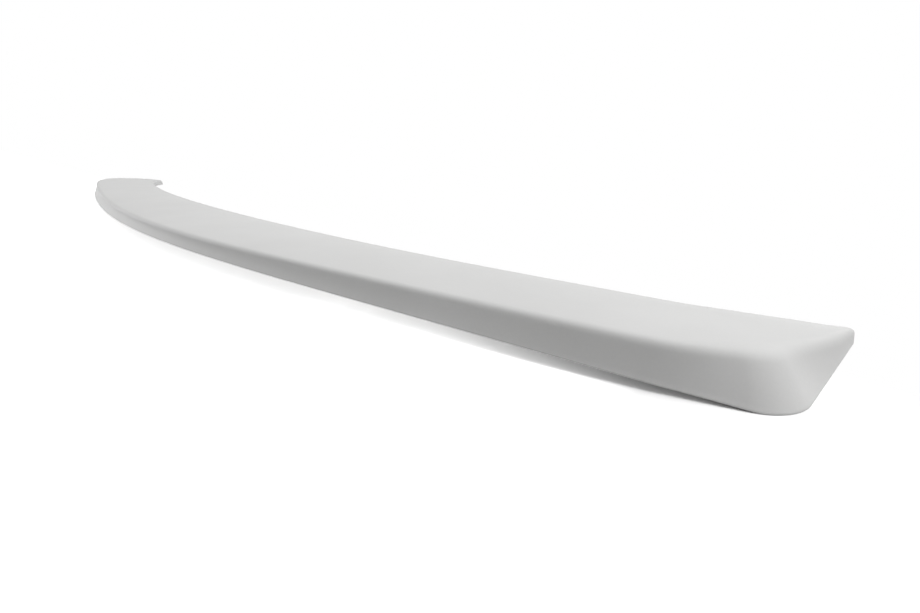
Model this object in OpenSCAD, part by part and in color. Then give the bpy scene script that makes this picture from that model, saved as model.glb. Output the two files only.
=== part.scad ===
// Trunk lip spoiler: one moulded shell, open underneath, with a blade that is swept
// forward towards both ends, a raised rear crest and blunt ends with forward ears.
// The frame has +X along the blade, +Y towards the front of the car and +Z up, in
// millimetres. The flat feet of the two ends stand on Z = 0, and the origin is under the
// middle of the part, halfway between the rear edge and the front tips.

/* [Plan shape] */
// Width of the whole part, from end to end
span = 1200; // [1000:10:1400]
// Front to back size of the blade at the middle
chord = 102; // [90:0.5:130]
// How far forward the rear edge has swept at the ends
rear_sweep = 88; // [50:0.5:110]
// How far forward the front edge would sweep by the ends, ears left aside
front_sweep = 88.5; // [60:0.5:120]
// Distance of an ear's root from the middle
ear_root = 522; // [490:1:530]
// How steeply the front edge of an ear runs forward, in millimetres for each millimetre outward
ear_slope = 0.48; // [0.4:0.01:0.55]
// How much narrower the part is at the front tips than at the rear corners, on each side
tip_inset = 0; // [0:1:12]
// Radius of the rear corners, seen from above
rear_corner_radius = 25; // [14:1:30]
// Radius of the front tips, seen from above
tip_radius = 4; // [3:0.5:10]

/* [Heights] */
// How far the rim rises above the feet at the middle, to follow the lid's crown
rim_arch = 13.5; // [6:0.5:22]
// Distance from the middle at which the rim comes down to its flat feet
foot_start = 588; // [560:1:594]
// Height of the rear face at the middle, from its rim up to the crest
face_height = 11.9; // [9:0.1:18]
// How far the crest has come down at the ends
crest_drop = 3.5; // [0:0.5:6]
// Thickness of the front edge, from its rim to the top surface
nose_height = 8.2; // [7:0.2:12]
// Rise of the top surface above a straight line between crest and nose
crown = 2.8; // [0:0.1:4]

/* [Section] */
// Wall thickness of the moulding
wall = 3; // [2:0.1:3.5]
// How far the rear face leans forward between the rim and the crest
face_lean = 6.5; // [5:0.5:12]
// Depth of the hollow curve down the rear face
face_hollow = 0.8; // [0:0.1:1.5]
// How far the front edge leans back between its rim and the top surface
nose_lean = 1; // [0.5:0.25:5]
// Length of the rounding on each side of the crest at the middle
crest_round = 4.5; // [3:0.5:6]
// Length that the rounding gains at the ends
end_round = 5; // [0:0.5:10]
// How much further the face leans in at the rear corners, where it becomes a bevel
corner_ease = 13; // [6:0.5:24]
// Distance from a corner over which that bevel fades out along the rear
rear_reach = 34; // [18:1:45]
// Distance from a corner over which that bevel fades out along the end
side_reach = 51; // [30:1:65]
// Radius of the small rounding along the foot of the outer face
edge_radius = 0.6; // [0.4:0.1:1.2]

/* [Detail] */
// Number of stations along each long side of one half
long_stations = 26; // [16:1:32]

/* [Hidden] */
primer_grey = [0.84, 0.84, 0.83];

half = span / 2;
// Shares of the fourth and the eighth power in each bow. The eighth one acts at the ends alone.
rear_bow = [-0.53, 0.25];
front_bow = [0.2, 0];
arch_bow = [-0.07, 0.44];
// The two ends of the part are filled by stations that all run to the last spine point
spine_end = half - 55;
ear_blend = 1.5;
crest_power = 5;
side_stations = 2;
corner_stations = 8;
end_stations = 5;
tip_stations = 5;
face_rings = 3;
fillet_rings = 6;
top_rings = 3;
inner_face_rings = 2;
inner_fillet_rings = 3;
inner_top_rings = 2;

// Curves that the whole part follows, seen from above and from behind

function mix(a, b, t) = a + (b - a) * t;

function bow(x, shares) =
    let (u = abs(x) / half)
    (1 - shares[0] - shares[1]) * pow(u, 2) + shares[0] * pow(u, 4) + shares[1] * pow(u, 8);

function rear_y(x) = rear_sweep * bow(x, rear_bow);

function blade_y(x) = chord + front_sweep * bow(x, front_bow);

function ear_y(x) = blade_y(ear_root) + ear_slope * (abs(x) - ear_root);

// The front edge follows the blade, then the ear, with a short blend at the root
function front_y(x) =
    let (a = blade_y(x), b = ear_y(x))
    (a + b + sqrt(pow(a - b, 2) + pow(ear_blend, 2))) / 2;

function rim_z(x) =
    rim_arch * (1 - bow(min(abs(x), foot_start), arch_bow) / bow(foot_start, arch_bow));

function crest_z(x) = rim_arch + face_height - crest_drop * pow(abs(x) / half, crest_power);

function nose_z(x) = rim_z(x) + nose_height;

// Height of the top surface, which runs from the crest down to the nose
function top_z(p) =
    let (crest_y = rear_y(p[0]) + face_lean,
         t = (p[1] - crest_y) / (front_y(p[0]) - nose_lean - crest_y))
    mix(crest_z(p[0]), nose_z(p[0]), t) + crown * 4 * t * (1 - t);

// The rim seen from above, for the half with X above 0, from rear to front

rear_corner = [half, rear_y(half)];
front_tip = [half - tip_inset, ear_y(half - tip_inset)];

function unit(v) = v / norm(v);

// Points of an arc of radius r that rounds the corner b between a and c
function rounded(a, b, c, r, count) =
    let (u = unit(a - b),
         v = unit(c - b),
         opening = acos(u * v) / 2,
         centre = b + unit(u + v) * r / sin(opening),
         start = b + u * r / tan(opening) - centre,
         turn = 180 - 2 * opening)
    [for (i = [0:count - 1])
        let (angle = turn * i / (count - 1))
        centre + [start[0] * cos(angle) - start[1] * sin(angle),
                  start[0] * sin(angle) + start[1] * cos(angle)]];

rear_arc = rounded([spine_end, rear_y(spine_end)], rear_corner, front_tip,
                   rear_corner_radius, corner_stations);
tip_arc = rounded(rear_corner, front_tip, [spine_end, front_y(spine_end)],
                  tip_radius, tip_stations);

function between(a, b, count) = [for (i = [1:count]) mix(a, b, i / (count + 1))];

rear_side = [for (i = [0:long_stations])
    let (x = spine_end * i / long_stations) [x, rear_y(x)]];
front_side = [for (i = [long_stations:-1:0])
    let (x = spine_end * i / long_stations) [x, front_y(x)]];
half_rim = concat(
    rear_side,
    between(rear_side[long_stations], rear_arc[0], side_stations),
    rear_arc,
    between(rear_arc[corner_stations - 1], tip_arc[0], end_stations),
    tip_arc,
    between(tip_arc[tip_stations - 1], front_side[0], side_stations),
    front_side);

// Depth of the whole part, from the rear edge at the middle to the front tips
depth = max([for (p = half_rim) p[1]]);

// The spine is the line along the middle of the top surface where all stations end
function spine_point(x) = [x, (rear_y(x) + front_y(x)) / 2];

last_station = len(half_rim) - 1;
first_front = last_station - long_stations;

function spine_step(i) =
    i <= long_stations ? i : i >= first_front ? last_station - i : long_stations;

function half_station(i) =
    [half_rim[i], spine_point(spine_end * spine_step(i) / long_stations), spine_step(i), i];

function mirrored(s) = [[-s[0][0], s[0][1]], [-s[1][0], s[1][1]], -s[2], s[3]];

// Each station holds its rim point, its spine point, the step along the spine and its place
stations = concat(
    [for (i = [0:last_station]) half_station(i)],
    [for (i = [last_station - 1:-1:1]) mirrored(half_station(i))]);
station_count = len(stations);

// The section at a station, as pairs of inset from the rim and height above the feet

function on_plan(s, inset) = s[0] + unit(s[1] - s[0]) * inset;

function side_share(s) =
    s[3] <= long_stations ? 0 :
    s[3] >= first_front ? 1 :
    max(0, min(1, (s[0][1] - rear_corner[1]) / (front_tip[1] - rear_corner[1])));

// Plan width of the face at a station, widest at the rear corners
function face_width(s) =
    let (beside = (abs(s[0][0]) - half) / rear_reach,
         ahead = max(0, s[0][1] - rear_corner[1]) / side_reach)
    mix(face_lean, nose_lean, side_share(s))
    + corner_ease * exp(-pow(beside, 2) - pow(ahead, 2));

function surface_z(s, inset) = top_z(on_plan(s, inset));

function curve(a, b, c, t) = mix(mix(a, b, t), mix(b, c, t), t);

function face_point(s, w, h, q) =
    let (hollow = face_hollow * (1 - side_share(s)) * (1 - bow(s[0][0], arch_bow)))
    [w * q + hollow * 4 * q * (1 - q), rim_z(s[0][0]) + mix(edge_radius, h, q)];

function round_length(s, w, h) =
    min(crest_round + end_round * pow(abs(s[0][0]) / half, crest_power), norm([w, h]) * 0.45);

function outer_section(s) =
    let (foot = rim_z(s[0][0]),
         w = face_width(s),
         h = surface_z(s, w) - foot,
         r = round_length(s, w, h),
         q = 1 - r / norm([w, h - edge_radius]),
         reach = norm(s[1] - s[0]),
         crest = [w, h + foot],
         after = [w + r, surface_z(s, w + r)])
    concat(
        [[edge_radius, foot],
         [edge_radius * 0.3, foot + edge_radius * 0.3],
         [0, foot + edge_radius]],
        [for (i = [1:face_rings - 1]) face_point(s, w, h, q * i / face_rings)],
        [for (i = [0:fillet_rings]) curve(face_point(s, w, h, q), crest, after, i / fillet_rings)],
        [for (i = [1:top_rings])
            let (inset = mix(w + r, reach, i / (top_rings + 1))) [inset, surface_z(s, inset)]]);

// The inner skin runs one wall inside the outer one
function inner_section(s) =
    let (foot = rim_z(s[0][0]),
         w = face_width(s),
         h = surface_z(s, w) - foot,
         reach = norm(s[1] - s[0]),
         lean = atan2(h, w),
         fall = atan2(surface_z(s, w) - surface_z(s, reach), reach - w),
         face_normal = [-sin(lean), cos(lean)],
         top_normal = [sin(fall), cos(fall)],
         corner = [w, h + foot]
             - (face_normal + top_normal) * wall / (1 + face_normal * top_normal),
         land = [wall / sin(lean), foot],
         r = min(round_length(s, w, h), norm(corner - land) * 0.4),
         before = corner + unit(land - corner) * r,
         after = [corner[0] + r, surface_z(s, corner[0] + r) - wall])
    concat(
        [for (i = [0:inner_face_rings - 1]) mix(land, before, i / inner_face_rings)],
        [for (i = [0:inner_fillet_rings]) curve(before, corner, after, i / inner_fillet_rings)],
        [for (i = [1:inner_top_rings])
            let (inset = mix(after[0], reach, i / (inner_top_rings + 1)))
                [inset, surface_z(s, inset) - wall]]);

function in_space(s, section) =
    [for (p = section) let (q = on_plan(s, p[0])) [q[0], q[1], p[1]]];

// Point number k of every station, which makes one closed ring
function rings(sections) =
    [for (k = [0:len(sections[0]) - 1]) for (s = sections) s[k]];

function spine_line(drop) =
    [for (i = [-long_stations:long_stations])
        let (p = spine_point(spine_end * i / long_stations)) [p[0], p[1], top_z(p) - drop]];

// The faces between a ring and the next one, and between the last ring and the spine
function ring_faces(first, ring_total) =
    [for (k = [0:ring_total - 2]) for (i = [0:station_count - 1])
        let (j = (i + 1) % station_count, a = first + k * station_count, b = a + station_count)
            each [[a + i, b + i, a + j], [a + j, b + i, b + j]]];

function cap_faces(ring_first, spine_first) =
    [for (i = [0:station_count - 1])
        let (j = (i + 1) % station_count,
             m = spine_first + stations[i][2] + long_stations,
             n = spine_first + stations[j][2] + long_stations)
            each concat([[ring_first + i, m, ring_first + j]],
                        m == n ? [] : [[ring_first + j, m, n]])];

function flipped(faces) = [for (f = faces) [f[0], f[2], f[1]]];

module spoiler_shell() {
    outer = [for (s = stations) in_space(s, outer_section(s))];
    inner = [for (s = stations) in_space(s, inner_section(s))];
    outer_rings = len(outer[0]);
    inner_rings = len(inner[0]);
    points = concat(rings(outer), spine_line(0), rings(inner), spine_line(wall));
    outer_spine = outer_rings * station_count;
    inner_first = outer_spine + 2 * long_stations + 1;
    inner_spine = inner_first + inner_rings * station_count;
    outer_faces = concat(
        ring_faces(0, outer_rings),
        cap_faces((outer_rings - 1) * station_count, outer_spine));
    inner_faces = concat(
        ring_faces(inner_first, inner_rings),
        cap_faces(inner_first + (inner_rings - 1) * station_count, inner_spine));
    land_faces = [for (i = [0:station_count - 1])
        let (j = (i + 1) % station_count, a = inner_first)
            each [[i, j, a + i], [j, a + j, a + i]]];
    color(primer_grey)
        translate([0, -depth / 2, 0])
            polyhedron(points, concat(outer_faces, flipped(inner_faces), land_faces));
}

spoiler_shell();
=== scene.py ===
import math

import bpy
from mathutils import Matrix, Vector


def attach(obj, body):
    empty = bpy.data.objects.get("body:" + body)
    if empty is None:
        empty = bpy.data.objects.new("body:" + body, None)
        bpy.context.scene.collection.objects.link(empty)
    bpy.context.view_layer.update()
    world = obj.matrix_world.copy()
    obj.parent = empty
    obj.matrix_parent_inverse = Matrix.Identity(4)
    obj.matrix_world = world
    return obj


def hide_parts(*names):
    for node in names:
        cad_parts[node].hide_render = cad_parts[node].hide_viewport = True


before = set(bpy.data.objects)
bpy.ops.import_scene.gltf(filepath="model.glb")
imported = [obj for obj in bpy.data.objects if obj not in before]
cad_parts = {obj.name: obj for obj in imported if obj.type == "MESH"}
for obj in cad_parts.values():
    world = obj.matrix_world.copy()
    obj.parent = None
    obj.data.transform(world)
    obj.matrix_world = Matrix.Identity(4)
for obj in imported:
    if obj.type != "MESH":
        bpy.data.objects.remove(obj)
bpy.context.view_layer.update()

millimetre = 0.001


# the camera comes first, so that every later look is at the same framing
framing = {
    "place": (0.6324, -0.2411, 0.1207),  # behind the right end, close to the ground
    "turn": 45.312,  # degrees from straight ahead towards the left end
    "down": 19.986,  # degrees below level
    "roll": -0.921,
    "lens": 20.23,
    "sensor": 36,
    "nearest": 0.01,
}


def addCamera(spec):
    turn, down, roll = (math.radians(spec[key]) for key in ("turn", "down", "roll"))
    ahead = Vector((-math.sin(turn) * math.cos(down), math.cos(turn) * math.cos(down), -math.sin(down)))
    level = Vector((math.cos(turn), math.sin(turn), 0))
    upright = level.cross(ahead)
    right = level * math.cos(roll) + upright * math.sin(roll)
    up = upright * math.cos(roll) - level * math.sin(roll)
    data = bpy.data.cameras.new("camera")
    data.lens = spec["lens"]
    data.sensor_width = spec["sensor"]
    data.clip_start = spec["nearest"]
    camera = bpy.data.objects.new("camera", data)
    bpy.context.collection.objects.link(camera)
    facing = Matrix((right, up, -ahead)).transposed().to_4x4()
    camera.matrix_world = Matrix.Translation(spec["place"]) @ facing
    bpy.context.scene.camera = camera


addCamera(framing)
print("camera placed")


# the moulding follows the curves of the solid, in millimetres, with far more stations along
# the rim and rings up the section, so that the crest and the corners shade smoothly
moulding = {
    "span": 1200,
    "chord": 102,
    "rearSweep": 88,
    "frontSweep": 88.5,
    "earRoot": 522,
    "earSlope": 0.48,
    "earBlend": 1.5,
    "rearCornerRadius": 25,
    "tipRadius": 4.02,
    "rimArch": 13.5,
    "footStart": 588,
    "faceHeight": 11.88,
    "crestDrop": 3.5,
    "crestPower": 5,
    "noseHeight": 8.2,
    "crown": 2.8,
    "wall": 3,
    "faceLean": 6.5,
    "faceHollow": 1.4,
    "noseLean": 1,
    "crestRound": 4.5,
    "endRound": 2,
    "roundLimit": 0.45,  # share of the face that the crest's rounding may take
    "innerLimit": 0.4,  # and the same for the skin inside
    "cornerEase": 13,
    "rearReach": 34,
    "sideReach": 51,
    "edgeRadius": 0.3,
    "footBevel": 0.7,  # a fine trimmed edge along the foot of the face, none at the front
    "rearBow": (-0.53, 0.25),  # shares of the fourth and the eighth power in each bow
    "frontBow": (0.2, 0),
    "archBow": (-0.07, 0.44),
    "spineInset": 55,  # the spine stops this far from each end
    "sharpFrom": 60,  # degrees between faces
    "longStations": 130,
    "sideStations": 8,
    "cornerStations": 20,
    "endStations": 22,
    "tipStations": 10,
    "edgeRings": 4,
    "faceRings": 8,
    "filletRings": 10,
    "topRings": 12,
    "innerFaceRings": 4,
    "innerFilletRings": 6,
    "innerTopRings": 6,
}
m = moulding
half = m["span"] / 2
spineEnd = half - m["spineInset"]


def mix(a, b, share):
    return a + (b - a) * share


def swell(share):  # nothing at both ends, 1 half way
    return 4 * share * (1 - share)


def bow(x, shares):
    across = abs(x) / half
    fourth, eighth = shares
    return (1 - fourth - eighth) * across**2 + fourth * across**4 + eighth * across**8


def rearY(x):
    return m["rearSweep"] * bow(x, m["rearBow"])


def bladeY(x):
    return m["chord"] + m["frontSweep"] * bow(x, m["frontBow"])


def earY(x):
    return bladeY(m["earRoot"]) + m["earSlope"] * (abs(x) - m["earRoot"])


def frontY(x):  # the front edge follows the blade, then the ear
    blade, ear = bladeY(x), earY(x)
    return (blade + ear + math.hypot(blade - ear, m["earBlend"])) / 2


def rimZ(x):
    fallen = bow(min(abs(x), m["footStart"]), m["archBow"]) / bow(m["footStart"], m["archBow"])
    return m["rimArch"] * (1 - fallen)


def nearEnd(x):  # stays near nothing over the middle and reaches 1 at either end
    return (abs(x) / half) ** m["crestPower"]


def crestZ(x):
    return m["rimArch"] + m["faceHeight"] - m["crestDrop"] * nearEnd(x)


def topZ(p):
    crestY = rearY(p.x) + m["faceLean"]
    share = (p.y - crestY) / (frontY(p.x) - m["noseLean"] - crestY)
    return mix(crestZ(p.x), rimZ(p.x) + m["noseHeight"], share) + m["crown"] * swell(share)


def rounded(before, corner, after, radius, count):
    toBefore = (before - corner).normalized()
    toAfter = (after - corner).normalized()
    opening = toBefore.angle(toAfter) / 2
    centre = corner + (toBefore + toAfter).normalized() * (radius / math.sin(opening))
    start = corner + toBefore * (radius / math.tan(opening)) - centre
    turn = (math.pi - 2 * opening) / (count - 1)
    arc = []
    for i in range(count):
        c, s = math.cos(turn * i), math.sin(turn * i)
        arc.append(centre + Vector((start.x * c - start.y * s, start.x * s + start.y * c)))
    return arc


def between(a, b, count):
    return [a.lerp(b, i / (count + 1)) for i in range(1, count + 1)]


def onSpine(step):
    x = spineEnd * step / m["longStations"]
    return Vector((x, (rearY(x) + frontY(x)) / 2))


# the rim seen from above, for the right half, from the rear middle to the front middle
rearCorner = Vector((half, rearY(half)))
frontTip = Vector((half, earY(half)))
longSteps = [spineEnd * i / m["longStations"] for i in range(m["longStations"] + 1)]
rearSide = [Vector((x, rearY(x))) for x in longSteps]
frontSide = [Vector((x, frontY(x))) for x in reversed(longSteps)]
rearArc = rounded(rearSide[-1], rearCorner, frontTip, m["rearCornerRadius"], m["cornerStations"])
tipArc = rounded(rearCorner, frontTip, frontSide[0], m["tipRadius"], m["tipStations"])
halfRim = (
    rearSide
    + between(rearSide[-1], rearArc[0], m["sideStations"])
    + rearArc
    + between(rearArc[-1], tipArc[0], m["endStations"])
    + tipArc
    + between(tipArc[-1], frontSide[0], m["sideStations"])
    + frontSide
)
lastStation = len(halfRim) - 1
firstFront = lastStation - m["longStations"]
depth = max(p.y for p in halfRim)


def makeStation(place, side):
    rim = halfRim[place]
    step = m["longStations"]
    if place <= m["longStations"]:
        step = place
    elif place >= firstFront:
        step = lastStation - place
    spine = onSpine(step)
    if place <= m["longStations"]:
        front = 0
    elif place >= firstFront:
        front = 1
    else:
        front = max(0, min(1, (rim.y - rearCorner.y) / (frontTip.y - rearCorner.y)))
    return {
        "rim": Vector((rim.x * side, rim.y)),
        "spine": Vector((spine.x * side, spine.y)),
        "step": step * side,
        "front": front,
    }


stations = [makeStation(i, 1) for i in range(lastStation + 1)]
stations += [makeStation(i, -1) for i in range(lastStation - 1, 0, -1)]


def onPlan(station, inset):
    return station["rim"] + (station["spine"] - station["rim"]).normalized() * inset


def topOver(station, inset):
    return topZ(onPlan(station, inset))


def faceWidth(station):
    beside = (abs(station["rim"].x) - half) / m["rearReach"]
    ahead = max(0, station["rim"].y - rearCorner.y) / m["sideReach"]
    lean = mix(m["faceLean"], m["noseLean"], station["front"])
    return lean + m["cornerEase"] * math.exp(-(beside**2) - ahead**2)


def curve(a, b, c, share):
    return mix(mix(a, b, share), mix(b, c, share), share)


def crestLength(x, width, height):  # how far the crest's rounding reaches down and inwards
    return min(m["crestRound"] + m["endRound"] * nearEnd(x), math.hypot(width, height) * m["roundLimit"])


def outerSection(station):
    x = station["rim"].x
    foot = rimZ(x)
    edge = m["edgeRadius"]
    width = faceWidth(station)
    crest = Vector((width, topOver(station, width)))
    height = crest.y - foot
    hollow = m["faceHollow"] * (1 - station["front"]) * (1 - bow(x, m["archBow"]))
    bevel = m["footBevel"] * (1 - station["front"])

    def onFace(share):
        inset = mix(bevel, width, share) + hollow * swell(share)
        return Vector((inset, foot + mix(edge + m["footBevel"], height, share)))

    length = crestLength(x, width, height)
    faceEnd = 1 - length / math.hypot(width, height - edge)
    reach = (station["spine"] - station["rim"]).length
    after = Vector((width + length, topOver(station, width + length)))
    under, corner, above = Vector((edge, foot)), Vector((0, foot)), Vector((0, foot + edge))
    section = []
    for i in range(m["edgeRings"] + 1):  # the small rounding along the foot
        section.append(curve(under, corner, above, i / m["edgeRings"]))
    section.append(onFace(0))
    for i in range(1, m["faceRings"]):
        section.append(onFace(faceEnd * i / m["faceRings"]))
    for i in range(m["filletRings"] + 1):
        section.append(curve(onFace(faceEnd), crest, after, i / m["filletRings"]))
    for i in range(1, m["topRings"] + 1):
        inset = mix(width + length, reach, i / (m["topRings"] + 1))
        section.append(Vector((inset, topOver(station, inset))))
    return section


def innerSection(station):  # one wall inside the outer skin
    x = station["rim"].x
    foot = rimZ(x)
    width = faceWidth(station)
    crestHeight = topOver(station, width)
    height = crestHeight - foot
    reach = (station["spine"] - station["rim"]).length
    lean = math.atan2(height, width)
    fall = math.atan2(crestHeight - topOver(station, reach), reach - width)
    faceNormal = Vector((-math.sin(lean), math.cos(lean)))
    topNormal = Vector((math.sin(fall), math.cos(fall)))
    inwards = (faceNormal + topNormal) * (m["wall"] / (1 + faceNormal.dot(topNormal)))
    corner = Vector((width, crestHeight)) - inwards
    land = Vector((m["wall"] / math.sin(lean), foot))
    length = min(crestLength(x, width, height), (corner - land).length * m["innerLimit"])
    before = corner + (land - corner).normalized() * length
    after = Vector((corner.x + length, topOver(station, corner.x + length) - m["wall"]))
    section = []
    for i in range(m["innerFaceRings"]):
        section.append(mix(land, before, i / m["innerFaceRings"]))
    for i in range(m["innerFilletRings"] + 1):
        section.append(curve(before, corner, after, i / m["innerFilletRings"]))
    for i in range(1, m["innerTopRings"] + 1):
        inset = mix(after.x, reach, i / (m["innerTopRings"] + 1))
        section.append(Vector((inset, topOver(station, inset) - m["wall"])))
    return section


def skinPoints(makeSection, drop):
    sections = [makeSection(station) for station in stations]
    points = []
    for k in range(len(sections[0])):
        for station, section in zip(stations, sections):
            place = onPlan(station, section[k].x)
            points.append((place.x, place.y, section[k].y))
    rings = len(sections[0])
    for step in range(-m["longStations"], m["longStations"] + 1):
        place = onSpine(abs(step))
        place.x = math.copysign(place.x, step)
        points.append((place.x, place.y, topZ(place) - drop))
    return points, rings


def skinFaces(first, rings):
    count = len(stations)
    faces = []
    for k in range(rings - 1):
        for i in range(count):
            a, b = first + k * count + i, first + k * count + (i + 1) % count
            faces.append((a, b, b + count, a + count))
    spine = first + rings * count + m["longStations"]
    for i in range(count):
        j = (i + 1) % count
        a, b = first + (rings - 1) * count + i, first + (rings - 1) * count + j
        c, d = spine + stations[j]["step"], spine + stations[i]["step"]
        faces.append((a, b, c) if c == d else (a, b, c, d))
    return faces


def buildMoulding():
    outer, outerRings = skinPoints(outerSection, 0)
    inner, innerRings = skinPoints(innerSection, m["wall"])
    outerFaces = skinFaces(0, outerRings)
    innerFaces = [tuple(reversed(face)) for face in skinFaces(len(outer), innerRings)]
    land = []  # the flat of the rim, between the two skins
    for i in range(len(stations)):
        j = (i + 1) % len(stations)
        land.append((i, len(outer) + i, len(outer) + j, j))
    points = [Vector((x, y - depth / 2, z)) * millimetre for x, y, z in outer + inner]
    mesh = bpy.data.meshes.new("lipMoulding")
    mesh.from_pydata(points, [], outerFaces + innerFaces + land)
    mesh.polygons.foreach_set("use_smooth", [True] * len(mesh.polygons))
    mesh.set_sharp_from_angle(angle=math.radians(m["sharpFrom"]))  # the inner edge of the rim
    mesh.update()
    inside = range(len(outerFaces), len(outerFaces) + len(innerFaces))
    return mesh, inside


mesh, insideFaces = buildMoulding()
spoiler = bpy.data.objects.new("lipMoulding", mesh)
bpy.context.collection.objects.link(spoiler)
mesh.validate()
print("moulding built,", len(mesh.vertices), "points and", len(mesh.polygons), "faces")


# the finish: matt grey primer outside, bare moulded plastic inside
primer = {
    "light": (0.705, 0.705, 0.7, 1),
    "dark": (0.67, 0.67, 0.664, 1),
    "mottleScale": 16,  # soft clouds a few centimetres across
    "mottleDetail": 3,
    "speckScale": 700,  # pigment specks a little over a millimetre across
    "speckDetail": 2,
    "speckShare": 0.25,
    "spread": (0.35, 0.65),  # the part of the clouds' range that runs from dark to light
    "roughLow": 0.5,
    "roughHigh": 0.6,
    "peelScale": 420,  # the spray's orange peel
    "peelDetail": 2,
    "peelHeight": 0.00004,
    "grainScale": 2600,  # fine sanding grain
    "grainDetail": 1,
    "grainHeight": 0.00001,
    "bumpStrength": 0.35,
    "specular": 0.4,
}
bareMoulding = {
    "light": (0.52, 0.52, 0.51, 1),
    "dark": (0.46, 0.46, 0.452, 1),
    "mottleScale": 9,
    "mottleDetail": 4,
    "speckScale": 380,
    "speckDetail": 2,
    "speckShare": 0.3,
    "spread": (0.35, 0.65),
    "roughLow": 0.6,
    "roughHigh": 0.75,
    "peelScale": 160,
    "peelDetail": 2,
    "peelHeight": 0.00012,
    "grainScale": 1200,
    "grainDetail": 1,
    "grainHeight": 0.00004,
    "bumpStrength": 0.5,
    "specular": 0.3,
}


def addNoise(tree, place, scale, detail):
    noise = tree.nodes.new("ShaderNodeTexNoise")
    noise.inputs["Scale"].default_value = scale
    noise.inputs["Detail"].default_value = detail
    tree.links.new(place, noise.inputs["Vector"])
    return noise.outputs["Fac"]


def addBump(tree, height, distance, strength, under=None):
    bump = tree.nodes.new("ShaderNodeBump")
    bump.inputs["Strength"].default_value = strength
    bump.inputs["Distance"].default_value = distance
    tree.links.new(height, bump.inputs["Height"])
    if under:
        tree.links.new(under, bump.inputs["Normal"])
    return bump.outputs["Normal"]


def makeFinish(name, spec):
    material = bpy.data.materials.new(name)
    material.use_nodes = True
    tree = material.node_tree
    shader = tree.nodes["Principled BSDF"]
    place = tree.nodes.new("ShaderNodeTexCoord").outputs["Object"]
    clouds = addNoise(tree, place, spec["mottleScale"], spec["mottleDetail"])
    specks = addNoise(tree, place, spec["speckScale"], spec["speckDetail"])
    tone = tree.nodes.new("ShaderNodeMix")
    tone.inputs["Factor"].default_value = spec["speckShare"]
    tree.links.new(clouds, tone.inputs[2])  # the two plain numbers of the mix
    tree.links.new(specks, tone.inputs[3])
    spread = tree.nodes.new("ShaderNodeValToRGB")
    colours = spec["dark"], spec["light"]
    for stop, position, colour in zip(spread.color_ramp.elements, spec["spread"], colours):
        stop.position = position
        stop.color = colour
    tree.links.new(tone.outputs[0], spread.inputs["Fac"])
    tree.links.new(spread.outputs["Color"], shader.inputs["Base Color"])
    rough = tree.nodes.new("ShaderNodeMapRange")
    rough.inputs["To Min"].default_value = spec["roughLow"]
    rough.inputs["To Max"].default_value = spec["roughHigh"]
    tree.links.new(clouds, rough.inputs["Value"])
    tree.links.new(rough.outputs["Result"], shader.inputs["Roughness"])
    peel = addNoise(tree, place, spec["peelScale"], spec["peelDetail"])
    grain = addNoise(tree, place, spec["grainScale"], spec["grainDetail"])
    relief = addBump(tree, peel, spec["peelHeight"], spec["bumpStrength"])
    relief = addBump(tree, grain, spec["grainHeight"], spec["bumpStrength"], relief)
    tree.links.new(relief, shader.inputs["Normal"])
    shader.inputs["Specular IOR Level"].default_value = spec["specular"]
    return material


spoiler.data.materials.append(makeFinish("greyPrimer", primer))
spoiler.data.materials.append(makeFinish("bareInside", bareMoulding))
for index in insideFaces:
    mesh.polygons[index].material_index = 1

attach(spoiler, "root")
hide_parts("spoiler_shell")
print("finish applied")


# a plain pale ground, white to the camera except close to the part. There the camera sees the lamps'
# light on it more than once over, and under the arch it sees painted light, a glow added that lifts the
# shadow there
stage = {
    "size": 12,
    "colour": (0.6, 0.6, 0.6, 1),
    "white": (1, 1, 1, 1),
    "riseStart": 0.28,  # places along the part between which twice the light turns into four times
    "riseEnd": 0.42,
    "fadeStart": 0.43,  # and that into little more than once, by the right foot
    "fadeEnd": 0.54,
    "fadeLeast": 0.04,
    "paintedLightStart": 0.33,  # painted light that lifts the shadow under the arch, less and less by its right end
    "paintedLightEnd": 0.58,
    "paintedLightLevel": 0.7,
    "whiteStart": 0.75,  # how far from the middle the ground turns plain white
    "whiteEnd": 1.6,
    "beyondStart": 0.02,  # and so it does on the far side, where the light comes from
    "beyondEnd": 0.05,
    "nearerStart": -0.13,  # and towards the camera, past the shadow
    "nearerEnd": -0.2,
    "surround": 0.22,  # light from all round
}


def addRamp(tree, value, start, end, atStart, atEnd):
    ramp = tree.nodes.new("ShaderNodeMapRange")
    for key, number in (("From Min", start), ("From Max", end), ("To Min", atStart), ("To Max", atEnd)):
        ramp.inputs[key].default_value = number
    tree.links.new(value, ramp.inputs["Value"])
    return ramp.outputs["Result"]


def addMath(tree, operation, a, b):
    step = tree.nodes.new("ShaderNodeMath")
    step.operation = operation
    tree.links.new(a, step.inputs[0])
    tree.links.new(b, step.inputs[1])
    return step.outputs[0]


def addChoice(tree, share, a, b):
    choice = tree.nodes.new("ShaderNodeMixShader")
    for socket, source in enumerate((share, a, b)):
        tree.links.new(source, choice.inputs[socket])
    return choice.outputs[0]


def seenDirectly(tree):  # 1 for what the camera sees, also in a reflection
    path = tree.nodes.new("ShaderNodeLightPath")
    bent = addMath(tree, "MAXIMUM", path.outputs["Is Glossy Ray"], path.outputs["Is Transmission Ray"])
    return addMath(tree, "MAXIMUM", path.outputs["Is Camera Ray"], bent)


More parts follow.
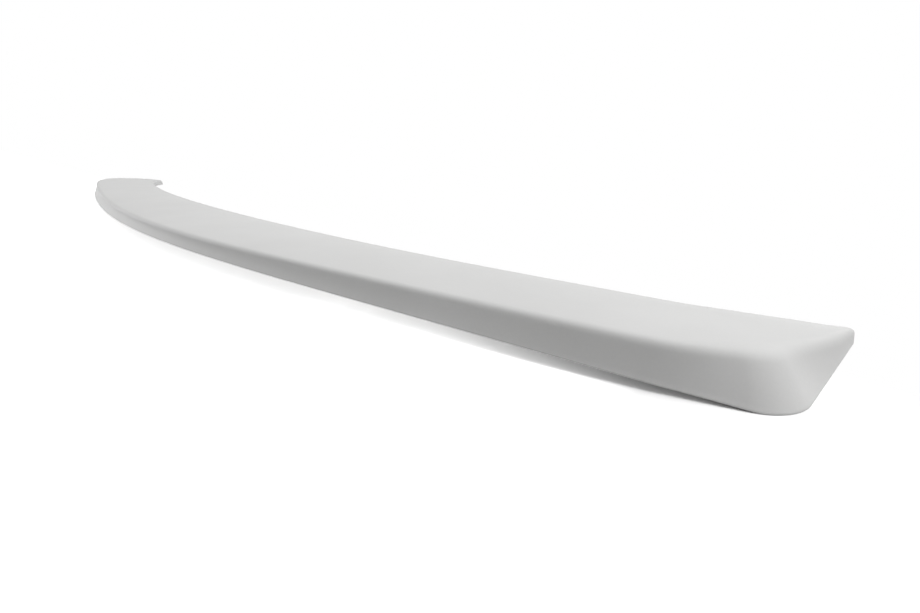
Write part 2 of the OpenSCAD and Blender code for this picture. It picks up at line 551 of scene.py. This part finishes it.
def addGround(spec):
    reach = spec["size"] / 2
    mesh = bpy.data.meshes.new("ground")
    corners = [(-reach, -reach, 0), (reach, -reach, 0), (reach, reach, 0), (-reach, reach, 0)]
    mesh.from_pydata(corners, [], [(0, 1, 2, 3)])
    ground = bpy.data.objects.new("ground", mesh)
    bpy.context.collection.objects.link(ground)
    material = bpy.data.materials.new("paleGround")
    material.use_nodes = True
    tree = material.node_tree
    tree.nodes.clear()
    plain = tree.nodes.new("ShaderNodeBsdfDiffuse")
    plain.inputs["Color"].default_value = spec["colour"]
    place = tree.nodes.new("ShaderNodeTexCoord").outputs["Object"]
    away = tree.nodes.new("ShaderNodeVectorMath")
    away.operation = "LENGTH"
    tree.links.new(place, away.inputs[0])
    along = tree.nodes.new("ShaderNodeSeparateXYZ")
    tree.links.new(place, along.inputs[0])
    farther = addRamp(tree, away.outputs["Value"], spec["whiteStart"], spec["whiteEnd"], 0, 1)
    nearer = addRamp(tree, along.outputs["Y"], spec["nearerStart"], spec["nearerEnd"], 0, 1)
    # painted light: a glow on the ground, seen only by the camera, that lightens the shadow under the
    # arch
    paintedLightUnderArch = addRamp(tree, along.outputs["X"], spec["paintedLightStart"], spec["paintedLightEnd"], spec["paintedLightLevel"], 0)
    fade = addRamp(tree, along.outputs["X"], spec["fadeStart"], spec["fadeEnd"], 1, spec["fadeLeast"])
    rise = addRamp(tree, along.outputs["X"], spec["riseStart"], spec["riseEnd"], 0, 1)
    middle = addMath(tree, "MINIMUM", fade, rise)
    seen = tree.nodes.new("ShaderNodeEmission")
    outside = addMath(tree, "MAXIMUM", farther, nearer)
    tree.links.new(addMath(tree, "MAXIMUM", outside, paintedLightUnderArch), seen.inputs["Strength"])
    for share in (None, fade, middle, middle):
        bright = tree.nodes.new("ShaderNodeBsdfDiffuse")
        bright.inputs["Color"].default_value = spec["white"]
        if share:
            tree.links.new(share, bright.inputs["Color"])
        both = tree.nodes.new("ShaderNodeAddShader")
        tree.links.new(bright.outputs[0], both.inputs[0])
        tree.links.new(seen.outputs[0], both.inputs[1])
        seen = both
    beyond = addRamp(tree, along.outputs["Y"], spec["beyondStart"], spec["beyondEnd"], 0, 1)
    white = tree.nodes.new("ShaderNodeEmission")  # at its own strength of 1
    shown = addChoice(tree, beyond, seen.outputs[0], white.outputs[0])
    surface = addChoice(tree, seenDirectly(tree), plain.outputs[0], shown)
    output = tree.nodes.new("ShaderNodeOutputMaterial")
    tree.links.new(surface, output.inputs["Surface"])
    ground.data.materials.append(material)


def addSurround(spec):
    world = bpy.data.worlds.new("studio")
    bpy.context.scene.world = world
    world.use_nodes = True
    tree = world.node_tree
    light = tree.nodes["Background"]
    light.inputs["Color"].default_value = spec["white"]
    level = addRamp(tree, seenDirectly(tree), 0, 1, spec["surround"], 1)
    tree.links.new(level, light.inputs["Strength"])


# one wide soft light above, beyond the part and towards its right end, and a weak one low at
# either end
softLights = {
    "main": {"towards": (0.38, 0.38, 0.9), "distance": 2.6, "width": 3, "power": 62},
    "left": {"towards": (-0.92, -0.34, 0.21), "distance": 1.4, "width": 0.4, "power": 2.4},
    "right": {"towards": (0.95, 0.15, 0.25), "distance": 2.6, "width": 0.9, "power": 3},
}


def addSoftLight(name, spec):
    data = bpy.data.lights.new(name, "AREA")
    data.shape = "DISK"
    data.size = spec["width"]
    data.energy = spec["power"]
    lamp = bpy.data.objects.new(name, data)
    bpy.context.collection.objects.link(lamp)
    towards = Vector(spec["towards"]).normalized()
    lamp.location = towards * spec["distance"]
    lamp.rotation_euler = towards.to_track_quat("Z", "Y").to_euler()


addGround(stage)
addSurround(stage)
for name, spec in softLights.items():
    addSoftLight(name, spec)
bpy.context.scene.view_settings.view_transform = "Standard"
print("ground and light added")
